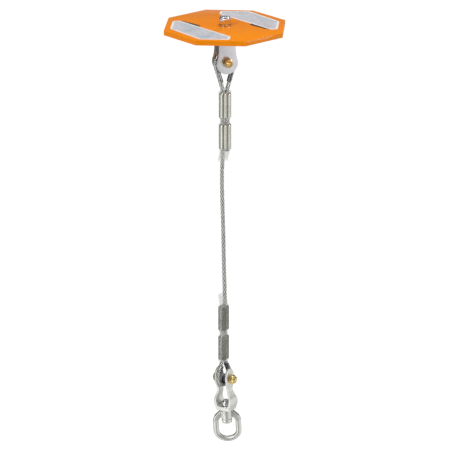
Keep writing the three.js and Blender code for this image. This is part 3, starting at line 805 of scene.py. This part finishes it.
def build_clevis():
    half = CLEVIS_GAP / 2 + CLEVIS_THICK
    low = UPPER_BOLT_Z - CLEVIS_EAR_R - 3
    outer_r = 5
    inner_r = 1
    strap = [(-half, low)]
    strap += arc((-half + outer_r, WEB_TOP - outer_r), outer_r, 180, 90, 10)
    strap += arc((half - outer_r, WEB_TOP - outer_r), outer_r, 90, 0, 10)
    strap += [(half, low), (CLEVIS_GAP / 2, low)]
    strap += arc((CLEVIS_GAP / 2 - inner_r, WEB_BOTTOM - inner_r), inner_r, 0, 90, 5)
    strap += arc((-CLEVIS_GAP / 2 + inner_r, WEB_BOTTOM - inner_r), inner_r, 90, 180, 5)
    strap += [(-CLEVIS_GAP / 2, low)]
    clevis = upright_prism("upper_clevis_fine", strap, TRIM)

    # Ear outline: straight flanks that flare into a round end about the bolt
    flank = CLEVIS_WIDTH / 2
    centre = (0, UPPER_BOLT_Z - 1)
    start = Vector((-flank, UPPER_BOLT_Z + 22))
    corner = Vector((-flank, UPPER_BOLT_Z + 13))
    entry = Vector(arc(centre, CLEVIS_EAR_R, 156, 156, 1)[0])
    flare = pulled_curve(start, corner, entry, 8)
    ear = [(-flank, WEB_TOP + 3)] + flare
    ear += arc(centre, CLEVIS_EAR_R, 160, 380, 44)
    ear += mirrored(reversed(flare)) + [(flank, WEB_TOP + 3)]
    combine(clevis, upright_prism("ear", ear, TRIM, pi / 2), "INTERSECT")
    hole = rod("hole", BOLT_R + GAP, -30, 30, AXIS_X)
    placed(hole, Matrix.Translation((0, 0, UPPER_BOLT_Z)))
    combine(clevis, hole, "DIFFERENCE")
    combine(clevis, rod("hole", STUD_R + GAP, -9, 3), "DIFFERENCE")
    bevelled(clevis, 0.55, 3)
    placed(clevis, CLEVIS_FRAME)
    finished(clevis, "clevis", "clevis_steel", "upper_clevis")

    bolt_frame = CLEVIS_FRAME @ Matrix.Translation((0, 0, UPPER_BOLT_Z)) @ AXIS_X
    clevis_fasteners("upper", "clevis", CLEVIS_GAP, half, bolt_frame)


def build_stud():
    width, length, thick = STUD_HEAD
    x = width / 2
    y = length / 2
    head_top = WEB_BOTTOM - GAP
    head = prism("stud_head", [(-x, -y), (x, -y), (x, y), (-x, y)], head_top - thick, head_top)
    bevelled(head, 0.7, 3)
    thread_low = STUD_NUT_SEAT + 4
    rings = [(0, head_top - 1), (STUD_R, head_top - 1), (STUD_R, thread_low)]
    rings += thread_rings(STUD_R, 1.5, thread_low, STUD_END, 1.1)
    rings.append((0, STUD_END))
    shank = ringed("stud_shank", rings, loop=False)
    stud = placed(joined("swivel_stud_fine", [head, shank]), CLEVIS_FRAME)
    finished(stud, "clevis", "stainless", "swivel_stud")
    lock_nut("stud_nut", "stud_nut", STUD_NUT, STUD_NUT_SEAT, CLEVIS_FRAME, "clevis", "stainless")
    washer("stud_washer", STUD_WASHER, STUD_WASHER_BOTTOM, None, "plate")
    washer("thrust_washer", THRUST_WASHER, THRUST_BOTTOM, None, "plate")


# ---- Wire rope ----

def eye_half(length):
    """Half of an eye in (across, up) about its crown's centre, pulled downwards."""
    reach = hypot(LEG, length)
    leave = atan2(-length, LEG) + acos(EYE_R / reach)
    points = []
    for i in range(1, 6):
        angle = pi / 2 + (leave - pi / 2) * i / 5
        points.append((EYE_R * cos(angle), EYE_R * sin(angle)))
    x, y = points[-1]
    points.append(((x * 2 + LEG) / 3, (y * 2 - length) / 3))
    points.append(((x + LEG * 2) / 3, (y - length * 2) / 3))
    points.append((LEG + 0.4, -length + 1))
    points.append((LEG, -length - 3))
    return points


def eye_points(length):
    half = eye_half(length)
    return mirrored(reversed(half)) + [(0, EYE_R)] + half


def rope_route(eye_frame, side, crown_z, pull, length, ends):
    """Dead end, eye and standing leg of one rope end; `side` is the dead end's side of the eye."""
    def leg(across, z):
        return tuple(eye_frame @ Vector((across, 0, z)))
    dead = [leg(side * LEG, z) for z in reversed(ends)]
    loop = [leg(side * x, crown_z + pull * y) for x, y in reversed(eye_points(length))]
    standing = [leg(-side * LEG, z) for z in ends[:-1]]
    return dead + loop + standing


STRANDS = 6
WIRES = 8
STRAND_SIDES = WIRES * 4
ROPE_LAY = 42
WIRE_LAY = -19
ROPE_BULGE = 3.35


def strand_surface(path, along, normals, binormals, strand):
    """Vertices of one strand: a fluted tube that winds round the rope's path."""
    strand_r = ROPE_BULGE * 0.345
    helix_r = ROPE_BULGE - strand_r
    turn = 2 * pi * (strand / STRANDS + along / ROPE_LAY)
    out = normals * np.cos(turn)[:, None] + binormals * np.sin(turn)[:, None]
    centre = path + out * helix_r
    tangent = unit(np.gradient(centre, axis=0))
    first = unit(out - tangent * np.sum(out * tangent, axis=1, keepdims=True))
    second = np.cross(tangent, first)
    beta = np.linspace(0, 2 * pi, STRAND_SIDES, endpoint=False)
    flute = WIRES / 2 * (beta[None, :] + (2 * pi * along / WIRE_LAY)[:, None])
    radius = strand_r * (0.86 + 0.14 * np.abs(np.cos(flute)))
    surface = (
        centre[:, None, :]
        + first[:, None, :] * (radius * np.cos(beta)[None, :])[:, :, None]
        + second[:, None, :] * (radius * np.sin(beta)[None, :])[:, :, None]
    )
    return surface.reshape(-1, 3)


def stranded_rope(name, points):
    """Wire rope along a route: six fluted strands laid round a core strand. Returns it and its path."""
    path = spline(points, 1.25)
    along = lengths_along(path)
    tangents, normals, binormals = carried_frames(path)
    vertices = []
    faces = []
    for strand in range(STRANDS):
        faces += capped_faces(len(path), STRAND_SIDES, strand * len(path) * STRAND_SIDES)
        vertices.append(strand_surface(path, along, normals, binormals, strand))
    core_sides = 10
    beta = np.linspace(0, 2 * pi, core_sides, endpoint=False)
    core_r = ROPE_R * 0.36
    core = (
        path[:, None, :] + normals[:, None, :] * (core_r * np.cos(beta))[None, :, None]
        + binormals[:, None, :] * (core_r * np.sin(beta))[None, :, None]
    )
    faces += capped_faces(len(path), core_sides, STRANDS * len(path) * STRAND_SIDES)
    # Relief for the painted groove shade: 0 deep between the strands, 1 on their crests, and 0 on the core,
    # which is painted darkest
    axis = np.tile(np.repeat(path, STRAND_SIDES, axis=0), (STRANDS, 1))
    reach = np.linalg.norm(np.concatenate(vertices) - axis, axis=1)
    relief = np.clip((reach / ROPE_BULGE - 0.6) / 0.38, 0, 1)
    relief = np.concatenate([relief, np.zeros(len(path) * core_sides)])
    vertices = np.concatenate(vertices + [core.reshape(-1, 3)])
    return mesh_object(name, vertices, faces, sharp=60, relief=relief), path


UPPER_ENDS = [FERRULE_1_TOP - 12, FERRULE_1_TOP - 50, FERRULE_2_BOTTOM - DEAD_END]
LOWER_ENDS = [FERRULE_4_BOTTOM + 12, FERRULE_4_BOTTOM + 50, FERRULE_3_TOP + DEAD_END / 2]
RUN = [
    (-3.4, -1.4, -200), (-4.3, -1.2, -222), (-4.5, -0.9, -245), (-3.9, -0.5, -275), (-3.1, 0, -303),
    (-2.5, 0.5, -330), (-2.1, 0.9, -357), (-1.6, 1.6, -384), (-0.9, 2.4, -412), (-0.5, 2.8, -436),
]


def build_rope():
    upper = rope_route(UPPER_EYE_FRAME, 1, UPPER_CROWN_Z, 1, UPPER_EYE["length"], UPPER_ENDS)
    lower = rope_route(LOWER_EYE_FRAME, -1, LOWER_CROWN_Z, -1, LOWER_EYE["length"], LOWER_ENDS)
    upper_eye, _ = stranded_rope("upper_eye_rope", upper)
    finished(upper_eye, "rope_top", "rope_steel", "wire_rope_upper")
    lower_eye, _ = stranded_rope("lower_eye_rope", lower)
    finished(lower_eye, "rope_bottom", "rope_steel", "wire_rope_lower")

    # The free run starts and ends inside the ferrules, where the eyes' legs end
    run = [upper[-1], tuple(UPPER_EYE_FRAME @ Vector((-LEG, 0, FERRULE_2_BOTTOM + 3)))]
    run += RUN
    run += [tuple(LOWER_EYE_FRAME @ Vector((LEG, 0, FERRULE_3_TOP - 3))), lower[-1]]
    rope, path = stranded_rope("wire_rope_run", run)
    finished(rope, None, "rope_steel", "wire_rope_upper", "wire_rope_lower")
    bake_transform(rope)


def build_dead_end_caps():
    """Dark heat-shrink caps on the two dead ends."""
    radius = ROPE_R + 0.18
    for name, base, across, z, sign, body in (
        ("upper_dead_end_cap", UPPER_EYE_FRAME, LEG, FERRULE_2_BOTTOM - DEAD_END, -1, "rope_top"),
        ("lower_dead_end_cap", LOWER_EYE_FRAME, -LEG, FERRULE_3_TOP + DEAD_END / 2, 1, "rope_bottom"),
    ):
        profile = [(0, 0.5), (radius - 0.6, 0.5), (radius, -0.1), (radius, -2.6), (0, -2.6)]
        cap = lathe(
            name, [(r, sign * height) for r, height in profile],
            base @ Matrix.Translation((across, 0, z)), 40, loop=False,
        )
        finished(cap, body, "rope_end")


def thimble_section():
    """Cross-section of a thimble in (outward, along the bolt): a thin channel round the rope."""
    def channel(radius, angles):
        return [(-radius * cos(a), radius * sin(a)) for a in np.radians(angles)]
    inner = ROPE_R + 0.35
    sweep = np.linspace(-97, 97, 14)
    return channel(inner, sweep) + channel(inner + 1.0, -sweep)


def build_thimble(node, base, crown_z, pull, eye, body):
    """Channel bent to the inside of a rope eye; `pull` is -1 where the eye hangs upside down."""
    loop = [point for point in eye_points(eye["length"]) if point[1] > -eye["length"] + 3]
    path = spline(loop, 1.2)
    path = path[path[:, 1] > -eye["thimble"]]
    section = thimble_section()
    rings = []
    for point, normal in zip(path, sideways(path)):
        for out, wide in section:
            x, up = point + normal * out
            rings.append((x, wide * 1.02, crown_z + pull * up))
    faces = capped_faces(len(path), len(section))
    thimble = mesh_object(f"{node}_fine", rings, faces, base, 40)
    # The thimble gets the near-black steel: painted shade
    finished(thimble, body, "thimble_painted_shade", node)


# ---- Ferrules and clear sleeves ----

def ferrule_outline(half_x, half_y, steps=96):
    """Oval with a shallow valley pressed into its two broad sides."""
    angles = np.linspace(0, 2 * pi, steps, endpoint=False)
    x, y = (np.sign(v) * np.abs(v) ** 0.82 for v in (np.cos(angles), np.sin(angles)))
    x = half_x * x
    y = half_y * y * (1 - 0.22 * np.exp(-(x / 2.2) ** 2))
    return np.stack([x, y], 1)


def build_ferrule(node, top, base, body, look):
    """Swaged sleeve: rounded ends, a slight swell between press bites, and a slot for two legs."""
    bottom = top - FERRULE_LENGTH
    outline = ferrule_outline(*FERRULE_HALF)
    slot = ferrule_outline(LEG + ROPE_R + 0.15, ROPE_R + 0.25)
    bites = 2 * pi / 8.25
    end = [(0, 0.86), (0.25, 0.93), (0.8, 0.975), (1.8, 0.995)]
    stations = end + [(3 + 1.5 * i, 1 - 0.012 * (1 - cos(1.5 * i * bites)) / 2) for i in range(23)]
    stations += [(FERRULE_LENGTH - distance, scale) for distance, scale in reversed(end)]
    rings = []
    for distance, scale in stations:
        ring = outline * scale
        rings.append(np.column_stack([ring, np.full(len(ring), bottom + distance)]))
    for height in (top, top - 0.6, bottom + 0.6, bottom):
        grow = 1.08 if height in (top, bottom) else 1.0
        rings.append(np.column_stack([slot * grow, np.full(len(slot), height)]))
    faces = ring_faces(len(rings), len(outline), loop=True)
    ferrule = mesh_object(f"{node}_fine", np.concatenate(rings), faces, base, 50)
    finished(ferrule, body, look, node)


def smoothstep(t):
    """0 to 1 with soft ends."""
    t = min(1.0, max(0.0, t))
    return t * t * (3 - 2 * t)


def sleeve_half(distance, tail_sign):
    """Half width and half depth inside the clear tube, by the distance from its ferrules' middle."""
    grip = np.array(FERRULE_HALF) + 0.12
    waist = np.array([7.3, 5.6])
    tail = np.array([7.0, 6.3])
    gap_half = (FERRULE_SPACING - FERRULE_LENGTH) / 2
    edge = FERRULE_SPACING / 2 + FERRULE_LENGTH / 2
    into_gap = smoothstep((gap_half + 0.5 - abs(distance)) / 4)
    past = smoothstep((tail_sign * distance - edge) / 4.5)
    flare = 0.35 * smoothstep((tail_sign * distance - edge - SLEEVE_OVERHANG + 4) / 4)
    return (grip + (waist - grip) * into_gap) * (1 - past) + (tail + flare) * past


SLEEVE_SIDES = 64


def build_sleeve(node, low, high, middle, tail_sign, lean, base, body):
    """Clear tube over two ferrules; its open tail leans to one side by `lean` millimetres."""
    side = base.to_3x3().inverted() @ Vector((-lean, 0, 0))
    tail_start = (FERRULE_SPACING + FERRULE_LENGTH) / 2
    oval = ferrule_outline(1, 1, SLEEVE_SIDES)
    outer = []
    inner = []
    for z in np.linspace(low, high, 91):
        half = sleeve_half(z - middle, tail_sign)
        half *= 1 + 0.012 * sin(z * 0.9) + 0.008 * sin(z * 2.3)
        shift = np.array(side[:2]) * smoothstep((tail_sign * (z - middle) - tail_start) / SLEEVE_OVERHANG)
        level = np.full(SLEEVE_SIDES, z)
        inner.append(np.column_stack([oval * half + shift, level]))
        outer.append(np.column_stack([oval * (half + SLEEVE_WALL) + shift, level]))
    rings = outer + inner[::-1]
    faces = ring_faces(len(rings), SLEEVE_SIDES, loop=True)
    sleeve = mesh_object(f"{node}_fine", np.concatenate(rings), faces, base, 60)
    finished(sleeve, body, "clear_tube", node)


# ---- Lower jaw ----

def build_jaw():
    inner = JAW_GAP / 2
    outer = inner + JAW_EAR
    outside = [(10.4, -18), (12.6, -26), (16, -34), (15.6, -42), (12.8, -50), (12, JAW_BOTTOM)]
    outside = spline([(outer, -8)] + outside, 0.8)
    inside = spline([(inner, -11), (6.8, -18.5), (8.4, -25), (11.2, -33), (11, -41), (8.5, JAW_FLOOR)], 0.8)
    right = [(outer, JAW_TOP + 2), *outside]
    hollow = [(inner, JAW_TOP + 2), *inside]
    front = mirrored(right) + right[::-1] + hollow + mirrored(hollow[::-1])
    jaw = upright_prism("lower_jaw_fine", front, 26)

    crown = [(10.5 * cos(a), JAW_TOP * sin(a)) for a in np.linspace(0, pi, 32)]
    flank = [(10.5, 0), (9, -9), (6.4, -18), (7.4, -26), (9.8, -36), (10.6, -46), (9.6, JAW_BOTTOM)]
    flank = spline(flank, 0.8)
    side = crown + mirrored(flank[1:]) + list(flank[:0:-1])
    combine(jaw, upright_prism("side", side, 26, pi / 2), "INTERSECT")
    forged(jaw, 0.45, 12)
    placed(jaw, JAW_FRAME)
    finished(jaw, "jaw", "forged", "lower_jaw")
    clevis_fasteners("lower", "jaw", JAW_GAP, JAW_GAP / 2 + JAW_EAR, JAW_FRAME @ AXIS_X)


# ---- Swivel and ring ----

def build_swivel():
    head_top = RING_TOP - BRIDGE_HEIGHT - GAP
    bottom = head_top - PIN_HEAD_HEIGHT
    nut_bottom = JAW_FLOOR + GAP
    nut_top = nut_bottom + SWIVEL_NUT_HEIGHT
    pin_top = nut_top + 1.5
    profile = [(0, bottom + 1.6), (2.6, bottom + 1.6), (2.9, bottom + 0.2), (3.4, bottom)]
    profile += arc((PIN_HEAD_R - 3.2, bottom + 3.2), 3.2, -81.4, 0, 8)
    profile += [
        (PIN_HEAD_R, head_top - 0.5), (PIN_HEAD_R - 0.5, head_top), (PIN_R, head_top),
        (PIN_R, pin_top - 0.8), (PIN_R - 0.8, pin_top), (0, pin_top),
    ]
    pin = lathe("swivel_pin_fine", profile, JAW_FRAME, loop=False)
    finished(pin, "jaw", "forged", "swivel_pin")
    bore = PIN_R + GAP
    outer = SWIVEL_NUT_R
    nut = lathe("swivel_nut_fine", [
        (bore, nut_bottom), (outer - 0.4, nut_bottom), (outer, nut_bottom + 0.4), (outer, nut_top - 2.2),
        (outer - 0.6, nut_top - 0.9), (outer - 1.6, nut_top), (bore + 0.4, nut_top), (bore, nut_top - 0.4),
    ], JAW_FRAME)
    finished(nut, "jaw", "stainless", "swivel_nut")
    washer("swivel_washer", SWIVEL_WASHER, SWIVEL_WASHER_BOTTOM, JAW_FRAME, "jaw")


def round_bar(name, path, radius):
    """Round bar along a path in the XZ plane."""
    sides = 28
    rings = []
    for point, normal in zip(path, sideways(path)):
        for beta in np.linspace(0, 2 * pi, sides, endpoint=False):
            x, z = point + normal * radius * cos(beta)
            rings.append((x, radius * sin(beta), z))
    return mesh_object(name, rings, capped_faces(len(path), sides))


def build_ring():
    centre = RING_HALF - RING_ROD_R
    top, bottom = RING_STRAIGHT
    drop = RING_HEIGHT - RING_ROD_R + bottom
    route = [(-centre, top), (-centre, (top + bottom) / 2)]
    for i in range(9):
        angle = pi + pi * i / 8
        route.append((centre * cos(angle), bottom + drop * sin(angle)))
    route += [(centre, (top + bottom) / 2), (centre, top)]
    rim = round_bar("rim", spline(route, 0.9), RING_ROD_R)
    inner = centre - RING_ROD_R
    half = [
        (BRIDGE_TOP_HALF, 0), (RING_HALF - 2.8, -8), (RING_HALF - 0.9, -13), (RING_HALF - 1.2, -18),
        (inner, -16.5), (inner - 3.5, 2 - BRIDGE_HEIGHT),
    ]
    outline = mirrored(half[::-1]) + half
    bridge = bevelled(upright_prism("bridge", outline, BRIDGE_HALF_DEPTH), 2.2, 4, 60)
    boss = rod("boss", BRIDGE_BOSS_R, -BRIDGE_HEIGHT, 0)
    ring = forged(joined("swivel_ring_fine", [rim, bridge, boss]), 0.4, 22)
    placed(ring, RING_FRAME)
    finished(ring, "ring", "forged", "swivel_ring")


# ---- Studio ----

FLOOR_Z = -740

# Brightness of the studio as polished metal mirrors it, by bearing in degrees clockwise from -Y
# (the side of the camera is at 0 and at 360, the left at 90, the back at 180, the right at 270)
REFLECTED = [
    (0, 0.14), (18, 0.12), (34, 0.8), (52, 1.0), (64, 0.62), (88, 0.3), (120, 0.06), (145, 0.08),
    (165, 0.45), (190, 0.5), (212, 0.1), (238, 0.42), (275, 0.5), (300, 0.52), (325, 0.5),
    (345, 0.16), (360, 0.14),
]


def build_floor():
    """Pale floor that rises into a backdrop behind the object on every side."""
    profile = [(0, 0), (7000, 0), (8200, 300), (9000, 1000), (9300, 2200), (9300, 6000)]
    profile = [(radius, height + FLOOR_Z) for radius, height in profile]
    floor = lathe("floor", profile, segments=96, loop=False, sharp=80)
    nodes = Nodes("floor")
    nodes.set(Roughness=0.8)
    nodes.colour(nodes.noise(3, 2), [(0.3, (0.9, 0.9, 0.9)), (0.7, (0.93, 0.93, 0.93))])
    glow = nodes.add("ShaderNodeEmission", Strength=1.05)
    place = nodes.add("ShaderNodeSeparateXYZ")
    nodes.link(nodes.place, place.inputs[0])
    bearing = nodes.add("ShaderNodeMath", operation="ARCTAN2")
    nodes.link(place.outputs["X"], bearing.inputs[0])
    nodes.link(place.outputs["Y"], bearing.inputs[1])
    around = nodes.mapped(bearing.outputs[0], (-pi, pi), (0, 1))
    cards = nodes.add("ShaderNodeEmission")
    greys = [(degrees / 360, (grey, grey, grey)) for degrees, grey in REFLECTED]
    nodes.link(nodes.ramp(around, greys), cards.inputs["Color"])
    nodes.link(nodes.mapped(place.outputs["Z"], (-0.5, 0.6), (1.6, 0.3)), cards.inputs["Strength"])
    rays = nodes.add("ShaderNodeLightPath").outputs
    mirrored = nodes.mixed(rays["Is Glossy Ray"], nodes.shader.outputs[0], cards.outputs[0])
    seen = nodes.mixed(rays["Is Camera Ray"], mirrored, glow.outputs[0])

    # Clear from beneath, so that views from below see the object
    beneath = nodes.add("ShaderNodeNewGeometry").outputs["Backfacing"]
    clear = nodes.add("ShaderNodeBsdfTransparent").outputs[0]
    nodes.link(nodes.mixed(beneath, clear, seen), nodes.tree.nodes["Material Output"].inputs["Surface"])
    floor.data.materials.append(nodes.material)


def area_light(name, place, aim, size, power):
    data = bpy.data.lights.new(name, "AREA")
    data.shape = "RECTANGLE"
    data.size, data.size_y = size
    data.energy = power
    light = shown(name, data)
    light.location = place
    light.rotation_euler = (Vector(aim) - Vector(place)).to_track_quat("-Z", "Y").to_euler()


def build_lights():
    aim = (0, 0, -0.3)
    area_light("key", (-1.6, -2.4, 1.5), aim, (0.9, 2.2), 40)
    area_light("fill", (3.0, -0.4, 0.4), aim, (0.6, 2.4), 20)
    area_light("top", (0.2, 0.6, 2.6), aim, (2.4, 2.4), 44)
    world = bpy.data.worlds.new("studio")
    bpy.context.scene.world = world
    world.use_nodes = True
    tree = world.node_tree
    background = tree.nodes["Background"]
    background.inputs["Color"].default_value = (1, 1, 1, 1)
    path = tree.nodes.new("ShaderNodeLightPath")
    strength = tree.nodes.new("ShaderNodeMapRange")
    strength.inputs["To Min"].default_value = 0.4
    strength.inputs["To Max"].default_value = 0.15
    tree.links.new(path.outputs["Is Glossy Ray"], strength.inputs["Value"])
    seen = tree.nodes.new("ShaderNodeMath")
    seen.operation = "MAXIMUM"
    tree.links.new(path.outputs["Is Camera Ray"], seen.inputs[0])
    tree.links.new(strength.outputs["Result"], seen.inputs[1])
    tree.links.new(seen.outputs[0], background.inputs["Strength"])


# ---- Everything ----

build_rope()
build_dead_end_caps()
build_plate()
build_labels()
build_clevis()
build_stud()
build_thimble("upper_thimble", UPPER_EYE_FRAME, UPPER_CROWN_Z, 1, UPPER_EYE, "rope_top")
build_thimble("lower_thimble", LOWER_EYE_FRAME, LOWER_CROWN_Z, -1, LOWER_EYE, "rope_bottom")
for ferrule_node, ferrule_top, eye_frame, rope_body, ferrule_look in (
    ("ferrule_1", FERRULE_1_TOP, UPPER_EYE_FRAME, "rope_top", "ferrule"),
    ("ferrule_2", FERRULE_1_TOP - FERRULE_SPACING, UPPER_EYE_FRAME, "rope_top", "ferrule"),
    # The lower pair take the darker copy of the ferrule metal: painted shade
    ("ferrule_3", FERRULE_3_TOP, LOWER_EYE_FRAME, "rope_bottom", "ferrule_painted_shade"),
    ("ferrule_4", FERRULE_4_BOTTOM + FERRULE_LENGTH, LOWER_EYE_FRAME, "rope_bottom", "ferrule_painted_shade"),
):
    build_ferrule(ferrule_node, ferrule_top, eye_frame, rope_body, ferrule_look)
build_sleeve(
    "upper_sleeve", FERRULE_2_BOTTOM - SLEEVE_OVERHANG, FERRULE_1_TOP + SLEEVE_TAIL,
    (FERRULE_1_TOP + FERRULE_2_BOTTOM) / 2, -1, 3, UPPER_EYE_FRAME, "rope_top",
)
build_sleeve(
    "lower_sleeve", FERRULE_4_BOTTOM - SLEEVE_TAIL, FERRULE_3_TOP + SLEEVE_OVERHANG,
    (FERRULE_3_TOP + FERRULE_4_BOTTOM) / 2, 1, 1.8, LOWER_EYE_FRAME, "rope_bottom",
)
build_jaw()
build_swivel()
build_ring()
build_floor()
build_lights()
